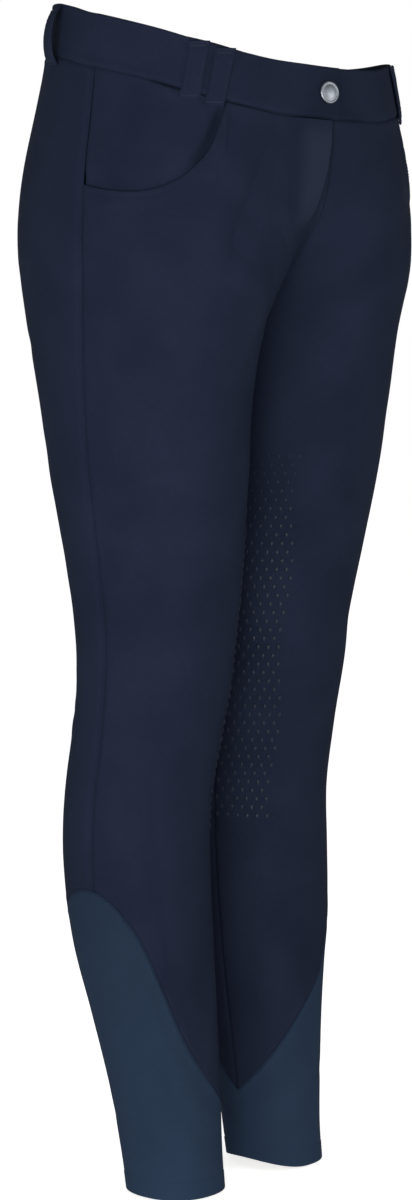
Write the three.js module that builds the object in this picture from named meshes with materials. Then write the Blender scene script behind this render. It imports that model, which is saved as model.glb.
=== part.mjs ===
// Riding breeches, filled out as worn. Sizes in millimetres, +Z up, front towards -Y,
// the wearer's left at +X. The origin is the middle of the waist at side-seam height.
import * as THREE from "three";

const seamGap = 0.3; // clear space between two pieces at a seam
const clothWall = 1.4; // firm stretch cloth of the leg panels
const facingWall = 1.2; // pocket facing
const cuffWall = 1.2; // thin knit of the lower legs
const bandWall = 2.6; // waistband, folded double
const bandProud = 0.6; // how far the band stands out from the panels
const loopWall = 1.8; // belt loop, folded cloth
const loopWidth = 16;
const loopRise = 2.0; // room for a belt under the middle of a loop
const loopTail = 7; // length of a loop below the band seam
const bandHeight = 40;
const crotchHeight = -216;
const kneeHeight = -513;
const hemHeight = -923;
const ringPower = 2.25; // 2 is an ellipse, more is squarer
const middleSoftness = 14; // rounds the valley at the middle front and back
const softnessReach = 90; // height above the crotch where that rounding is full
const lapReach = 9; // right band past the middle front, over the left one
const underlapReach = 14; // left band past the middle front, under the right one
const lapStep = 0.9; // the right band moves out by this much over the left one
const underStep = 2.0; // the left band moves in by this much
const buttonRadius = 8.5;
const buttonAside = -6; // x of the button on the band
const flyGap = 0.5; // between the fly lap and the front under it
const flyLift = 1.6; // cloth of the fly lap at its edge
const flyThin = 0.6; // cloth of the fly lap where it fades into the front
const facingBelow = 14; // facing hidden below the pocket edge
const facingGap = 0.6; // between the front panel and the facing behind it

// Levels of one half. outer: side seam to mid plane. inner: mid plane to the inner leg,
// below 0 where the two legs are one body. seamY: side seam. front, back: depths from it.
const levels = [
  { z: 25, outer: 142, inner: -142, seamY: -4, front: 108, back: 113 },
  { z: 0, outer: 145, inner: -145, seamY: -4, front: 109, back: 117 },
  { z: -42, outer: 149, inner: -122, seamY: -4, front: 111.5, back: 123 },
  { z: -80, outer: 154, inner: -94, seamY: -4, front: 113.5, back: 128 },
  { z: -115, outer: 159, inner: -66, seamY: -3.5, front: 114, back: 130 },
  { z: -150, outer: 161.5, inner: -38, seamY: -3, front: 113, back: 128 },
  { z: -180, outer: 161.5, inner: -18, seamY: -2.5, front: 109.5, back: 122.5 },
  { z: -200, outer: 160.5, inner: -7, seamY: -2, front: 105, back: 117 },
  { z: -216, outer: 159.5, inner: 0, seamY: -1, front: 100.5, back: 111.5 },
  { z: -240, outer: 158.5, inner: 7, seamY: 0, front: 94, back: 103.5 },
  { z: -290, outer: 157, inner: 11.5, seamY: 0, front: 84.5, back: 90 },
  { z: -350, outer: 151.5, inner: 9, seamY: 0.5, front: 76.5, back: 80.5 },
  { z: -410, outer: 140.5, inner: 7.5, seamY: 2, front: 69, back: 72 },
  { z: -465, outer: 131, inner: 8, seamY: 4, front: 62, back: 65 },
  { z: -513, outer: 127.5, inner: 10.5, seamY: 7, front: 59, back: 61 },
  { z: -560, outer: 126.5, inner: 13.5, seamY: 13.5, front: 56, back: 60.5 },
  { z: -610, outer: 127, inner: 16.5, seamY: 21, front: 54.5, back: 60.5 },
  { z: -660, outer: 127.5, inner: 17.5, seamY: 21.5, front: 55, back: 61 },
  { z: -720, outer: 124, inner: 18, seamY: 17, front: 53, back: 58.5 },
  { z: -780, outer: 113.5, inner: 18.5, seamY: 10, front: 47.5, back: 52 },
  { z: -840, outer: 104.5, inner: 20, seamY: 2, front: 42, back: 45 },
  { z: -890, outer: 99.5, inner: 22, seamY: -3.5, front: 38.5, back: 41 },
  { z: -930, outer: 98, inner: 23, seamY: -8.5, front: 37.5, back: 39 },
];

// Heights round the waist, which sits a little lower on the left side. turn: degrees from
// the side seam, front above 0, back below 0.
const waistEdge = [
  { turn: -100, right: 15, left: 15 },
  { turn: -60, right: 14, left: 8 },
  { turn: -28, right: 10.5, left: -9 },
  { turn: -12, right: 5, left: -16 },
  { turn: 0, right: -1, left: -21 },
  { turn: 28, right: -14.5, left: -22 },
  { turn: 45, right: -24, left: -25 },
  { turn: 60, right: -31, left: -30 },
  { turn: 75, right: -36, left: -35.5 },
  { turn: 100, right: -38.5, left: -38.5 },
];

// Lower edge of the pocket opening, from the side seam up to the band.
const pocketEdge = [
  { turn: 0, z: -129 },
  { turn: 5, z: -132.5 },
  { turn: 13, z: -135.5 },
  { turn: 21, z: -136 },
  { turn: 28, z: -133 },
  { turn: 36, z: -125.5 },
  { turn: 42, z: -115.5 },
  { turn: 46.5, z: -105.5 },
  { turn: 50, z: -91 },
  { turn: 52.5, z: -78 },
  { turn: 54.5, z: -67 },
];

// Seam between leg panels and knit lower legs, which hangs a little higher on the left leg.
const cuffEdge = [
  { turn: -180, right: -868, left: -860 },
  { turn: -150, right: -840, left: -832 },
  { turn: -110, right: -784, left: -778 },
  { turn: -75, right: -731, left: -727 },
  { turn: -45, right: -697, left: -695 },
  { turn: -20, right: -681, left: -680 },
  { turn: 0, right: -678, left: -676 },
  { turn: 19, right: -688, left: -684 },
  { turn: 30, right: -700, left: -693 },
  { turn: 40, right: -714, left: -704 },
  { turn: 48, right: -733, left: -719 },
  { turn: 56, right: -755, left: -737 },
  { turn: 64, right: -778, left: -757 },
  { turn: 74, right: -799, left: -772 },
  { turn: 86, right: -817, left: -784 },
  { turn: 98, right: -832, left: -797 },
  { turn: 118, right: -847, left: -815 },
  { turn: 142, right: -858, left: -834 },
  { turn: 180, right: -868, left: -860 },
];

// Outline of the fly lap on the right front: edge is its free edge, fade its other side.
const flyShape = [
  { z: -79, edge: 1.5, fade: -47 },
  { z: -97, edge: 1, fade: -47 },
  { z: -114, edge: -2, fade: -46 },
  { z: -130, edge: -6.5, fade: -45 },
  { z: -144, edge: -12.5, fade: -43 },
  { z: -156, edge: -19, fade: -41 },
  { z: -165, edge: -26, fade: -38 },
  { z: -170, edge: -31, fade: -36 },
];

// Belt loops on each half. top, foot: turns of the centre line. seat: footing of the foot,
// which is the pocket facing, set in from the panel, or the panel itself.
const beltLoops = [
  { name: "belt_loop_outer", top: 42.2, foot: 40.6, seat: -clothWall },
  { name: "belt_loop_inner", top: 52.0, foot: 50.3, seat: seamGap },
  { name: "belt_loop_rear", top: -21.5, foot: -21.0, seat: seamGap },
];

// Soft folds: where each lies, its half sizes, how far it leans from level, and its depth.
const folds = [
  { turn: 29, z: -64, across: 15, high: 5, lean: -0.35, depth: 1.3 },
  { turn: 84, z: -186, across: 26, high: 8, lean: -0.9, depth: 1.4 },
  { turn: -100, z: -212, across: 34, high: 9, lean: 0.35, depth: 1.8 },
  { turn: -70, z: -528, across: 30, high: 8, lean: 0.15, depth: 2.0 },
  { turn: -112, z: -552, across: 28, high: 7, lean: -0.2, depth: 1.7 },
  { turn: 96, z: -560, across: 24, high: 9, lean: 0.25, depth: 1.2 },
  { turn: 60, z: -846, across: 20, high: 6, lean: 0.3, depth: 1.0 },
  { turn: -60, z: -858, across: 22, high: 6, lean: -0.25, depth: 1.1 },
];

const buttonProfile = [
  { r: 0, h: 0 },
  { r: 3.8, h: 0 },
  { r: 3.8, h: 1.3 },
  { r: 7.6, h: 1.3 },
  { r: buttonRadius, h: 2.0 },
  { r: buttonRadius, h: 2.7 },
  { r: 8.0, h: 3.4 },
  { r: 7.1, h: 3.7 },
  { r: 6.5, h: 3.3 },
  { r: 5.2, h: 3.7 },
  { r: 2.6, h: 4.1 },
  { r: 0, h: 4.2 },
];

// Smooth value of a table's column at a place, through every row.
function readTable(table, key, place, column) {
  const rising = table[0][key] < table[table.length - 1][key];
  const rows = rising ? table : [...table].reverse();
  const last = rows.length - 1;
  if (place <= rows[0][key]) return rows[0][column];
  if (place >= rows[last][key]) return rows[last][column];
  let i = 0;
  while (rows[i + 1][key] < place) i += 1;
  const slope = (a, b) =>
    (rows[b][column] - rows[a][column]) / (rows[b][key] - rows[a][key]);
  const span = rows[i + 1][key] - rows[i][key];
  const here = slope(i, i + 1);
  const before = i > 0 ? slope(i - 1, i + 1) : here;
  const after = i + 2 <= last ? slope(i, i + 2) : here;
  const s = (place - rows[i][key]) / span;
  const a = rows[i][column];
  const b = rows[i + 1][column];
  const cubic = 2 * s ** 3 - 3 * s ** 2;
  return (
    a * (1 + cubic) -
    b * cubic +
    span * before * (s ** 3 - 2 * s ** 2 + s) +
    span * after * (s ** 3 - s ** 2)
  );
}

const radians = Math.PI / 180;
const signedPower = (v, p) => Math.sign(v) * Math.abs(v) ** p;
const clamp = (v, low, high) => Math.min(high, Math.max(low, v));

// Ring of one half at a height: its centre, half sizes and the rounding at the mid plane.
function ringAt(z) {
  const outer = readTable(levels, "z", z, "outer");
  const inner = readTable(levels, "z", z, "inner");
  const rise = clamp((z - crotchHeight) / softnessReach, 0, 1);
  return {
    centre: (outer + inner) / 2,
    half: (outer - inner) / 2,
    seamY: readTable(levels, "z", z, "seamY"),
    front: readTable(levels, "z", z, "front"),
    back: readTable(levels, "z", z, "back"),
    soft: middleSoftness * rise * rise * (3 - 2 * rise),
  };
}

// Turn at which a ring meets the mid plane, or 180 on a leg of its own.
function middleTurn(z) {
  const ring = ringAt(z);
  const reach = clamp((ring.soft - ring.centre) / ring.half, -1, 1);
  return Math.acos(signedPower(reach, ringPower / 2)) / radians;
}

function foldDepth(turn, z) {
  let depth = 0;
  for (const fold of folds) {
    const across = turn - fold.turn;
    const high = z - fold.z - fold.lean * across;
    depth += fold.depth * Math.exp(-((across / fold.across) ** 2) - (high / fold.high) ** 2);
  }
  return depth;
}

// Outer face of the left half, side = 1, or the right half, side = -1. The station runs
// from -1 at the middle back through 0 at the side seam to 1 at the middle front or the
// inner leg, and past 1 it goes on over the other half.
function faceAt(side, station, z) {
  if (station > 1) return faceAt(-side, 2 - station, z);
  const ring = ringAt(z);
  const turn = Math.abs(station) * middleTurn(z) * radians;
  const spread = ring.centre + ring.half * signedPower(Math.cos(turn), 2 / ringPower);
  const depth = Math.abs(Math.sin(turn)) ** (2 / ringPower);
  const fold = foldDepth((station < 0 ? -turn : turn) / radians, z);
  const x = Math.sqrt(Math.max(spread ** 2 - ring.soft ** 2, 0));
  const y =
    station < 0
      ? ring.seamY + (ring.back - fold) * depth
      : ring.seamY - (ring.front - fold) * depth;
  return new THREE.Vector3(side * x, y, z);
}

// A point moved out along the cloth's normal, or in where out is below 0.
function liftedAt(side, station, z, out) {
  const low = Math.max(station - 0.004, -1);
  const high = station + 0.004;
  const inFront = station > 0 || (station === 0 && out !== 0);
  const from = inFront ? Math.max(low, 0) : low;
  const to = !inFront && high > 0 ? 0 : Math.min(high, Math.max(1, station));
  const along = faceAt(side, to, z).sub(faceAt(side, from, z));
  const up = faceAt(side, station, z + 0.5).sub(faceAt(side, station, z - 0.5));
  const normal = new THREE.Vector3().crossVectors(up, along).normalize();
  return faceAt(side, station, z).addScaledVector(normal, side * out);
}

// Station of the front at a distance from the mid plane, past 1 on the other half.
function stationBeside(side, x, z) {
  const own = side * x >= 0;
  let low = 0;
  let high = 1;
  for (let i = 0; i < 40; i += 1) {
    const middle = (low + high) / 2;
    if (Math.abs(faceAt(side, middle, z).x) > Math.abs(x)) low = middle;
    else high = middle;
  }
  return own ? low : 2 - low;
}

const stationOfTurn = (turn, z) => turn / middleTurn(z);
const waistTurn = (station) => station * middleTurn(-60); // for edges near the waist
const bandTop = (turn, side) =>
  readTable(waistEdge, "turn", clamp(turn, -100, 100), side > 0 ? "left" : "right");
const bandSeam = (turn, side) => bandTop(turn, side) - bandHeight;

// Closed wall between two grids of points, or a closed tube where the columns wrap round.
function wallGeometry(outer, inner, wraps) {
  const rows = outer.length;
  const cols = outer[0].length;
  const positions = [];
  for (const grid of [outer, inner]) {
    for (const row of grid) for (const p of row) positions.push(p.x, p.y, p.z);
  }
  const at = (layer, i, j) => layer * rows * cols + i * cols + (j % cols);
  const index = [];
  const quad = (a, b, c, d) => index.push(a, b, c, a, c, d);
  const spans = wraps ? cols : cols - 1;
  for (let i = 0; i < rows - 1; i += 1) {
    for (let j = 0; j < spans; j += 1) {
      quad(at(0, i, j), at(0, i + 1, j), at(0, i + 1, j + 1), at(0, i, j + 1));
      quad(at(1, i, j), at(1, i, j + 1), at(1, i + 1, j + 1), at(1, i + 1, j));
    }
  }
  for (let j = 0; j < spans; j += 1) {
    quad(at(0, 0, j), at(0, 0, j + 1), at(1, 0, j + 1), at(1, 0, j));
    quad(at(0, rows - 1, j), at(1, rows - 1, j), at(1, rows - 1, j + 1), at(0, rows - 1, j + 1));
  }
  for (let i = 0; !wraps && i < rows - 1; i += 1) {
    quad(at(0, i, 0), at(1, i, 0), at(1, i + 1, 0), at(0, i + 1, 0));
    quad(at(0, i, cols - 1), at(0, i + 1, cols - 1), at(1, i + 1, cols - 1), at(1, i, cols - 1));
  }
  return outwardGeometry(positions, index);
}

// Geometry whose faces point out, whichever way its grid ran.
function outwardGeometry(positions, index) {
  let volume = 0;
  const point = (i) => new THREE.Vector3().fromArray(positions, 3 * i);
  for (let i = 0; i < index.length; i += 3) {
    const cross = point(index[i + 1]).cross(point(index[i + 2]));
    volume += point(index[i]).dot(cross);
  }
  if (volume < 0) {
    for (let i = 0; i < index.length; i += 3) {
      [index[i + 1], index[i + 2]] = [index[i + 2], index[i + 1]];
    }
  }
  const geometry = new THREE.BufferGeometry();
  geometry.setAttribute("position", new THREE.Float32BufferAttribute(positions, 3));
  geometry.setIndex(index);
  return geometry;
}

// Grid of points for a wall: place(row, column) gives the station and the height.
function clothGrid(side, rows, cols, out, place) {
  return rows.map((row) =>
    cols.map((col) => {
      const { station, z } = place(row, col);
      const p = liftedAt(side, station, z, typeof out === "function" ? out(row, col) : out);
      const half = seamGap / 2;
      if (Math.abs(station) <= 1) p.x = side * Math.max(side * p.x, half);
      return p;
    }),
  );
}

// Opens the side seam and the inner leg seam by drawing a panel's two edges in.
function openSeams(grid, toFront) {
  for (const row of grid) {
    for (const p of [row[0], row[row.length - 1]]) p.y += (toFront ? -1 : 1) * (seamGap / 2);
  }
  return grid;
}

const spread = (from, to, steps) =>
  Array.from({ length: steps + 1 }, (_, i) => from + ((to - from) * i) / steps);

const group = new THREE.Group();
group.name = "riding_breeches";

function addPiece(name, geometry, colour) {
  const material = new THREE.MeshStandardMaterial({ color: colour, roughness: 0.85 });
  const mesh = new THREE.Mesh(geometry, material);
  mesh.name = name;
  group.add(mesh);
}

// Heights of a leg panel's rows: closer together round the crotch, then down to the cuff.
const yokeHeight = -150;
const middleRows = [
  -165, -179, -191, -201, -209, -216, -224, -240, -265, -300, -340, -385, -430, -475,
  kneeHeight,
];
const panelRows = [
  ...spread(0, 1, 5).map((t) => ({ zone: "top", t })),
  ...middleRows.map((z) => ({ zone: "level", z })),
  ...spread(0, 1, 9).slice(1).map((t) => ({ zone: "low", t })),
];

// Height of a row at a station, between the panel's own top edge and the cuff seam.
function rowHeight(row, side, station, topEdge) {
  if (row.zone === "level") return row.z;
  if (row.zone === "top") {
    const z = topEdge(waistTurn(station), side);
    return z + (yokeHeight - z) * row.t;
  }
  return kneeHeight + (cuffSeam(side, station) - kneeHeight) * row.t;
}

const cuffSeam = (side, station) =>
  readTable(cuffEdge, "turn", station * 180, side > 0 ? "left" : "right");

const frontColumns = [
  0, 0.06, 0.14, 0.22, 0.3, 0.37, 0.43, 0.48, 0.515, 0.54, 0.56, 0.62, 0.69, 0.76, 0.825,
  0.875, 0.915, 0.95, 0.975, 0.99, 1,
];
const backColumns = [0, 0.08, 0.18, 0.28, 0.38, 0.48, 0.58, 0.68, 0.78, 0.88, 0.95, 1];
const pocketEnd = pocketEdge[pocketEdge.length - 1].turn;

const frontTop = (turn, side) => {
  const seam = bandSeam(turn, side) - seamGap;
  return turn < pocketEnd ? Math.min(readTable(pocketEdge, "turn", turn, "z"), seam) : seam;
};
const backTop = (turn, side) => bandSeam(turn, side) - seamGap;

function addLegPanel(name, side, toFront, colour) {
  const columns = toFront ? frontColumns : backColumns.map((s) => -s);
  const topEdge = toFront ? frontTop : backTop;
  const place = (row, station) => ({
    station,
    z: rowHeight(row, side, station, topEdge),
  });
  const outer = openSeams(clothGrid(side, panelRows, columns, 0, place), toFront);
  const inner = openSeams(clothGrid(side, panelRows, columns, -clothWall, place), toFront);
  addPiece(name, wallGeometry(outer, inner, false), colour);
}

// The facing shows in the pocket opening and runs on behind the front panel.
function addPocketFacing(name, side, colour) {
  const columns = spread(0, 0.6, 11);
  const place = (t, station) => {
    const turn = waistTurn(station);
    const top = bandSeam(turn, side) - seamGap;
    const edge = readTable(pocketEdge, "turn", Math.min(turn, pocketEnd), "z");
    return { station, z: top + (Math.min(edge, top) - facingBelow - top) * t };
  };
  const depth = -clothWall - facingGap;
  const rows = spread(0, 1, 5);
  const outer = openSeams(clothGrid(side, rows, columns, depth, place), true);
  const inner = openSeams(clothGrid(side, rows, columns, depth - facingWall, place), true);
  addPiece(name, wallGeometry(outer, inner, false), colour);
}

// Half of the waistband, from the middle back to past the middle front.
function addWaistband(name, side, colour) {
  const lapping = side < 0;
  const reach = lapping ? lapReach : underlapReach;
  const endStation = stationBeside(side, -side * reach, -58);
  const back = backColumns.slice(1).map((s) => -s).reverse();
  const stations = [...back, ...frontColumns, endStation];
  const place = (t, station) => {
    const shown = station > 1 ? 2 - station : station;
    return { station, z: bandTop(waistTurn(shown), side) - bandHeight * t };
  };
  const shift = (station) => {
    const s = clamp((station - 0.8) / 0.14, 0, 1);
    return (lapping ? lapStep : -underStep) * s * s * (3 - 2 * s);
  };
  const rows = spread(0, 1, 3);
  const outer = clothGrid(side, rows, stations, (_, s) => bandProud + shift(s), place);
  const depth = bandProud - bandWall;
  const inner = clothGrid(side, rows, stations, (_, s) => depth + shift(s), place);
  addPiece(name, wallGeometry(outer, inner, false), colour);
}

// A belt loop lies flat where it is sewn and stands off the band between.
function addBeltLoop(name, side, loop, colour) {
  const top = bandTop(loop.top, side) - 0.4;
  const foot = bandSeam(loop.foot, side) - loopTail;
  const rows = [0, 0.08, 0.18, 0.32, 0.5, 0.68, 0.82, 0.92, 1];
  const speed = faceAt(side, stationOfTurn(loop.top + 1, -50), -50).distanceTo(
    faceAt(side, stationOfTurn(loop.top - 1, -50), -50),
  );
  const halfTurn = loopWidth / speed;
  const place = (t, col) => {
    const z = top + (foot - top) * t;
    const turn = loop.top + (loop.foot - loop.top) * t + col * halfTurn;
    return { station: stationOfTurn(turn, z), z };
  };
  const stand = (t) => {
    const s = Math.sin(Math.PI * clamp(t, 0, 1)) ** 0.6;
    const ends = bandProud + seamGap + (loop.seat - bandProud - seamGap) * t ** 6;
    return ends + loopRise * s;
  };
  const cols = [-1, -0.5, 0, 0.5, 1];
  const inner = clothGrid(side, rows, cols, (t) => stand(t), place);
  const outer = clothGrid(side, rows, cols, (t) => stand(t) + loopWall, place);
  addPiece(name, wallGeometry(outer, inner, false), colour);
}

// The fly lap lies on the right front, thick at its free edge and thin at its other side.
function addFlyLap(name, colour) {
  const side = -1;
  const columns = spread(0, 1, 9);
  const place = (z, t) => {
    const fade = readTable(flyShape, "z", z, "fade");
    const edge = readTable(flyShape, "z", z, "edge");
    return { station: stationBeside(side, fade + (edge - fade) * t, z), z };
  };
  const thickness = (t) => flyThin + (flyLift - flyThin) * Math.min(t / 0.7, 1);
  const rows = spread(flyShape[0].z - seamGap, flyShape[flyShape.length - 1].z, 11);
  const inner = clothGrid(side, rows, columns, flyGap, place);
  const outer = clothGrid(side, rows, columns, (_, t) => flyGap + thickness(t), place);
  addPiece(name, wallGeometry(outer, inner, false), colour);
}

// Knit lower leg, one tube from the slanting seam down to the hem.
function addCuff(name, side, colour) {
  const back = backColumns.slice(1).map((s) => -s).reverse();
  const columns = [...back, ...frontColumns.slice(0, -1)];
  const place = (t, station) => {
    const seam = cuffSeam(side, station);
    const before = cuffSeam(side, Math.max(station - 0.03, -1));
    const after = cuffSeam(side, Math.min(station + 0.03, 1));
    const run = faceAt(side, Math.min(station + 0.03, 1), seam).distanceTo(
      faceAt(side, Math.max(station - 0.03, -1), seam),
    );
    const top = seam - seamGap * Math.hypot(1, (after - before) / run);
    return { station, z: top + (hemHeight - top) * t };
  };
  const rows = spread(0, 1, 9);
  const outer = clothGrid(side, rows, columns, 0, place);
  const inner = clothGrid(side, rows, columns, -cuffWall, place);
  addPiece(name, wallGeometry(outer, inner, true), colour);
}

function addButton(name, colour) {
  const points = buttonProfile.map((p) => new THREE.Vector2(p.r, p.h));
  const lathe = new THREE.LatheGeometry(points, 28);
  const height = bandTop(95, -1) - bandHeight / 2;
  const station = stationBeside(-1, buttonAside, height);
  const out = bandProud + lapStep + seamGap;
  const seat = liftedAt(-1, station, height, out);
  const normal = liftedAt(-1, station, height, out + 1).sub(seat).normalize();
  const turn = new THREE.Quaternion().setFromUnitVectors(new THREE.Vector3(0, 1, 0), normal);
  lathe.applyQuaternion(turn);
  lathe.translate(seat.x, seat.y, seat.z);
  addPiece(name, lathe, colour);
}

const navy = 0x20263a;
const knitNavy = 0x263a56;

for (const { word, side } of [
  { word: "right", side: -1 },
  { word: "left", side: 1 },
]) {
  addLegPanel("front_" + word, side, true, navy);
  addLegPanel("back_" + word, side, false, navy);
  addPocketFacing("pocket_facing_" + word, side, navy);
  addWaistband("waistband_" + word, side, navy);
  addCuff("cuff_" + word, side, knitNavy);
  for (const loop of beltLoops) addBeltLoop(loop.name + "_" + word, side, loop, navy);
}
addFlyLap("fly_lap", navy);
addButton("waist_button", 0xb8bcc2);

export default group;
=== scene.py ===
# Riding breeches in navy stretch cloth with knit lower legs, filled out as they are worn.
# Shapes are worked out in millimetres and turned to metres when a mesh is made.
import math
import bpy
import numpy as np
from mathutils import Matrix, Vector


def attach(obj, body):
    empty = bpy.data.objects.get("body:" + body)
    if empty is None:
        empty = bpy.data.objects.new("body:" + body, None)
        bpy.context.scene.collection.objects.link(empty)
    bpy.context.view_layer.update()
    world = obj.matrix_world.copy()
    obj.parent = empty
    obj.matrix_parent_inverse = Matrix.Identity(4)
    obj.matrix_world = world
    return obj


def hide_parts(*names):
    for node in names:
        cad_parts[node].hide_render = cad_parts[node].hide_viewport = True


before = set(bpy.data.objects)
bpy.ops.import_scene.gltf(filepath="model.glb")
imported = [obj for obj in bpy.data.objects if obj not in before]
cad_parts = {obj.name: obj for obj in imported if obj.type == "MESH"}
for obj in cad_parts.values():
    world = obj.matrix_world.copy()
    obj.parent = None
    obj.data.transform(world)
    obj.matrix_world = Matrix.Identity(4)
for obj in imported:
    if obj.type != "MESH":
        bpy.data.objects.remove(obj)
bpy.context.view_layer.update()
print("frame loaded")

# The cut, in mm.
cut = {"bandHeight": 40.0, "crotch": -216.0, "knee": -513.0, "hem": -923.0, "yoke": -150.0,
       "ringPower": 2.25, "middleSoftness": 14.0, "softnessReach": 90.0, "cloth": 1.4, "knit": 1.2}

# Levels of one half: the side seam and the inner leg from the mid plane, the side seam's y,
# and the depths before and behind it.
levels = {
    "z": [25, 0, -42, -80, -115, -150, -180, -200, -216, -240, -290, -350,
          -410, -465, -513, -560, -610, -660, -720, -780, -840, -890, -930],
    "outer": [142, 145, 149, 154, 159, 161.5, 161.5, 160.5, 159.5, 158.5, 157, 151.5,
              140.5, 131, 127.5, 126.5, 127, 127.5, 124, 113.5, 104.5, 99.5, 98],
    "inner": [-142, -145, -122, -94, -66, -38, -18, -7, 0, 7, 11.5, 9,
              7.5, 8, 10.5, 13.5, 16.5, 17.5, 18, 18.5, 20, 22, 23],
    "seamY": [-4, -4, -4, -4, -3.5, -3, -2.5, -2, -1, 0, 0, 0.5,
              2, 4, 7, 13.5, 21, 21.5, 17, 10, 2, -3.5, -8.5],
    "front": [108, 109, 111.5, 113.5, 114, 113, 109.5, 105, 100.5, 94, 84.5, 76.5,
              69, 62, 59, 56, 54.5, 55, 53, 47.5, 42, 38.5, 37.5],
    "back": [113, 117, 123, 128, 130, 128, 122.5, 117, 111.5, 103.5, 90, 80.5,
             72, 65, 61, 60.5, 60.5, 61, 58.5, 52, 45, 41, 39]}

# Heights of the waist's top edge, the pocket's edge and the knit seam, by turn round the side seam.
waistEdge = {"turn": [-100, -60, -28, -12, 0, 28, 45, 60, 75, 100],
             "right": [15, 15, 12.5, 6.8, -0.4, -14.5, -24, -31, -36, -38.5],
             "left": [15, 5, -12, -18, -21.5, -22, -25, -30, -35.5, -38.5]}
pocketEdge = {"turn": [0, 5, 13, 21, 28, 36, 42, 46.5, 50, 52.5, 54.5],
              "z": [-129, -132.5, -135.5, -136, -133, -125.5, -115.5, -105.5, -91, -78, -67]}
cuffEdge = {"turn": [-180, -150, -110, -75, -45, -20, 0, 19, 30, 40, 48, 56, 64, 74, 86, 98, 118, 142, 180],
            "right": [-868, -840, -784, -731, -697, -681, -678, -688, -700, -714, -733, -755,
                      -778, -799, -817, -832, -847, -858, -868],
            "left": [-860, -832, -778, -727, -695, -680, -676, -684, -693, -704, -719, -737,
                     -757, -772, -784, -797, -815, -834, -860]}
# x of the free edge and of the soft side of the fly's lap.
flyShape = {"z": [-79, -97, -114, -130, -144, -156, -165, -170],
            "edge": [-5, -5.5, -8, -12, -17.5, -24, -31, -36],
            "fade": [-54, -54, -53, -52, -50, -48, -45, -42]}

# The largest folds, as the solids have them: turn and height, half sizes, lean and depth.
folds = [(29, -64, 15, 5, -0.35, 1.3), (84, -186, 26, 8, -0.9, 1.4), (-100, -212, 34, 9, 0.35, 1.8),
         (-70, -528, 30, 8, 0.15, 2.0), (-112, -552, 28, 7, -0.2, 1.7), (96, -560, 24, 9, 0.25, 1.2),
         (60, -846, 20, 6, 0.3, 1.0), (-60, -858, 22, 6, -0.25, 1.1)]

# Small creases: side (0 is both), turn, z, half length and half width in mm, slant in degrees and depth.
creases = [
    (-1, 33, -58, 13, 1.8, -28, 1.0), (-1, 22, -55, 16, 3.2, -8, 0.5), (1, 30, -72, 14, 2.2, -20, 0.8),
    (0, 66, -150, 58, 11, -52, 0.8), (0, 72, -196, 40, 9, -46, 0.7), (0, 97, -190, 26, 4.5, -38, 0.8),
    (-1, 100, -170, 22, 3.6, -30, 0.6), (1, 92, -205, 30, 5, -33, 0.9), (0, 118, -226, 26, 4, -16, 0.9),
    (0, 134, -238, 22, 3.4, -6, 0.7), (0, -118, -226, 30, 5, 14, 1.0), (0, -96, -236, 34, 6, 9, 0.9),
    (0, -136, -244, 24, 4, 18, 0.8), (0, -60, -250, 30, 7, 5, 0.6), (0, -88, -520, 34, 5, 8, 1.0),
    (0, -120, -536, 28, 4.5, -12, 1.0), (0, -62, -545, 26, 5, 18, 0.8), (0, -98, -566, 30, 4.2, 4, 0.9),
    (0, -140, -515, 24, 4, -20, 0.8), (0, 150, -540, 24, 4.5, 15, 0.7), (0, 120, -500, 30, 7, 20, 0.5),
    (1, 60, -470, 40, 12, 25, 0.5), (-1, 96, -585, 32, 8, 22, 0.6), (-1, 44, -640, 40, 12, 30, 0.4),
    (0, 78, -690, 30, 8, 35, 0.5), (-1, 58, -728, 24, 4, 52, 0.6), (1, 66, -742, 22, 4, 50, 0.6),
    (-1, 77, -140, 50, 12, -94, 4.2),  # the hollow beside the fly
    (-1, 84, -812, 8, 1.7, -40, 0.9), (-1, 93, -827, 7, 1.6, -25, 0.8), (-1, 76, -799, 8, 1.7, -50, 0.8),
    (0, -40, -330, 50, 14, 12, 0.5), (0, -76, -410, 46, 12, -10, 0.5), (0, 40, -300, 60, 16, -20, 0.4)]


def readTable(table, key, place, column):
    # Cubic through the rows, each slope taken from the rows on both sides of it.
    k, v = np.array(table[key], float), np.array(table[column], float)
    if k[0] > k[-1]:
        k, v = k[::-1], v[::-1]
    place = np.clip(place, k[0], k[-1])
    i = np.clip(np.searchsorted(k, place) - 1, 0, len(k) - 2)
    before, after = np.maximum(i - 1, 0), np.minimum(i + 2, len(k) - 1)
    span = k[i + 1] - k[i]
    here = (v[i + 1] - v[i]) / span
    slopeIn = np.where(i > 0, (v[i + 1] - v[before]) / (k[i + 1] - k[before]), here)
    slopeOut = np.where(i + 2 < len(k), (v[after] - v[i]) / (k[after] - k[i]), here)
    s = (place - k[i]) / span
    blend = 2 * s ** 3 - 3 * s ** 2
    return (v[i] * (1 + blend) - v[i + 1] * blend
            + span * slopeIn * (s ** 3 - 2 * s ** 2 + s) + span * slopeOut * (s ** 3 - s ** 2))


def signedPower(v, p):
    return np.sign(v) * np.abs(v) ** p


def smooth(v):
    # 0 below 0, 1 above 1, level at both ends
    v = np.clip(v, 0, 1)
    return v * v * (3 - 2 * v)


def bump(v, width):
    return np.exp(-(v / width) ** 2)


def ringAt(z):
    ring = {name: readTable(levels, "z", z, name) for name in ("outer", "inner", "seamY", "front", "back")}
    ring["centre"] = (ring["outer"] + ring["inner"]) / 2
    ring["half"] = (ring["outer"] - ring["inner"]) / 2
    ring["soft"] = cut["middleSoftness"] * smooth((z - cut["crotch"]) / cut["softnessReach"])
    reach = np.clip((ring["soft"] - ring["centre"]) / ring["half"], -1, 1)
    ring["middleTurn"] = np.degrees(np.arccos(signedPower(reach, cut["ringPower"] / 2)))
    return ring


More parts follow.
